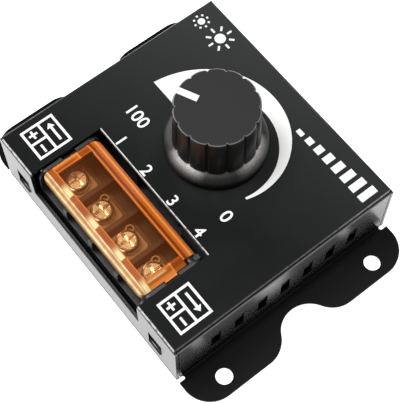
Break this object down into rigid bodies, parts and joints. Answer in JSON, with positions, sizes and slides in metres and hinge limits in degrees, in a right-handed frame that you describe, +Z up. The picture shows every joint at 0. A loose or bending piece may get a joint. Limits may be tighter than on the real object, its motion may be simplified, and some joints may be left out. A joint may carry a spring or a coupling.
{
  "type": "led strip dimmer",
  "caption": "Rotary lamp dimmer: folded sheet case with drilled flanges, a fluted knob with a pointer, and screw terminals under a hinged clear cover.",
  "frame": {"origin": "bottom centre of the case, on the mounting plane", "axes": "+X across the two flanges, +Y away from the terminal side, +Z up out of the mounting surface"},
  "size_m": [0.0848, 0.0618, 0.0338],
  "materials": {
    "case_paint": "satin black powder coat",
    "knob_black": "satin black",
    "pointer_white": "matt white",
    "block_black": "semi-gloss black",
    "cover_amber": "clear amber",
    "contact_brass": "plain",
    "screw_steel": "nickel plated",
    "board_green": "solder-mask green",
    "standoff_brass": "plain",
    "pot_metal": "pressed can",
    "shaft_metal": "turned",
    "lead_tin": "tinned",
    "moulding_black": "epoxy moulding",
    "spreader_aluminium": "milled",
    "can_sleeve": "printed sleeve left plain",
    "film_yellow": "dipped box",
    "resistor_ceramic": "glazed top"
  },
  "bodies": {
    "case": {"case_shell": "case_paint", "base_plate": "case_paint", "board_standoffs": "standoff_brass", "board_screws": "screw_steel", "circuit_board": "board_green", "terminal_body": "block_black", "potentiometer_body": "pot_metal", "potentiometer_bushing": "standoff_brass", "potentiometer_pins": "lead_tin", "shaft_washer": "screw_steel", "shaft_nut": "screw_steel", "spreader_screws": "screw_steel", "control_chip": "moulding_black", "flyback_diode": "moulding_black", "film_capacitor": "film_yellow", "chip_resistors": "resistor_ceramic", "contact_strip_1": "contact_brass", "contact_strip_2": "contact_brass", "contact_strip_3": "contact_brass", "contact_strip_4": "contact_brass", "mosfet_1": "moulding_black", "heat_spreader_1": "spreader_aluminium", "smoothing_capacitor_1": "can_sleeve", "mosfet_2": "moulding_black", "heat_spreader_2": "spreader_aluminium", "smoothing_capacitor_2": "can_sleeve"},
    "knob": {"knob": "knob_black", "knob_pointer": "pointer_white", "potentiometer_shaft": "shaft_metal"},
    "cover": {"terminal_cover": "cover_amber"},
    "clamp_1": {"clamp_plate_1": "screw_steel"},
    "screw_1": {"terminal_screw_1": "screw_steel"},
    "clamp_2": {"clamp_plate_2": "screw_steel"},
    "screw_2": {"terminal_screw_2": "screw_steel"},
    "clamp_3": {"clamp_plate_3": "screw_steel"},
    "screw_3": {"terminal_screw_3": "screw_steel"},
    "clamp_4": {"clamp_plate_4": "screw_steel"},
    "screw_4": {"terminal_screw_4": "screw_steel"}
  },
  "joints": [
    {"name": "knob_turn", "type": "hinge", "parent": "case", "child": "knob", "pos_m": [-0.0013, 0.0072, 0.0183], "axis": [0, 0, 1], "range_deg": [-266, 34]},
    {"name": "cover_hinge", "type": "hinge", "parent": "case", "child": "cover", "pos_m": [-0.0006, -0.0149, 0.01615], "axis": [-1, 0, 0], "range_deg": [0, 100]},
    {"name": "clamp_1_lift", "type": "slide", "parent": "case", "child": "clamp_1", "axis": [0, 0, 1], "range_m": [0, 0.0021]},
    {"name": "screw_1_turn", "type": "hinge", "parent": "clamp_1", "child": "screw_1", "pos_m": [-0.01485, -0.022, 0.0118], "axis": [0, 0, 1], "range_deg": [0, 1080]},
    {"name": "clamp_2_lift", "type": "slide", "parent": "case", "child": "clamp_2", "axis": [0, 0, 1], "range_m": [0, 0.0021]},
    {"name": "screw_2_turn", "type": "hinge", "parent": "clamp_2", "child": "screw_2", "pos_m": [-0.00535, -0.022, 0.0118], "axis": [0, 0, 1], "range_deg": [0, 1080]},
    {"name": "clamp_3_lift", "type": "slide", "parent": "case", "child": "clamp_3", "axis": [0, 0, 1], "range_m": [0, 0.0021]},
    {"name": "screw_3_turn", "type": "hinge", "parent": "clamp_3", "child": "screw_3", "pos_m": [0.00415, -0.022, 0.0118], "axis": [0, 0, 1], "range_deg": [0, 1080]},
    {"name": "clamp_4_lift", "type": "slide", "parent": "case", "child": "clamp_4", "axis": [0, 0, 1], "range_m": [0, 0.0021]},
    {"name": "screw_4_turn", "type": "hinge", "parent": "clamp_4", "child": "screw_4", "pos_m": [0.01365, -0.022, 0.0118], "axis": [0, 0, 1], "range_deg": [0, 1080]}
  ],
  "couplings": [
    {"joint": "screw_1_turn", "follows": "clamp_1_lift", "rad_per_m": 8976},
    {"joint": "screw_2_turn", "follows": "clamp_2_lift", "rad_per_m": 8976},
    {"joint": "screw_3_turn", "follows": "clamp_3_lift", "rad_per_m": 8976},
    {"joint": "screw_4_turn", "follows": "clamp_4_lift", "rad_per_m": 8976}
  ]
}
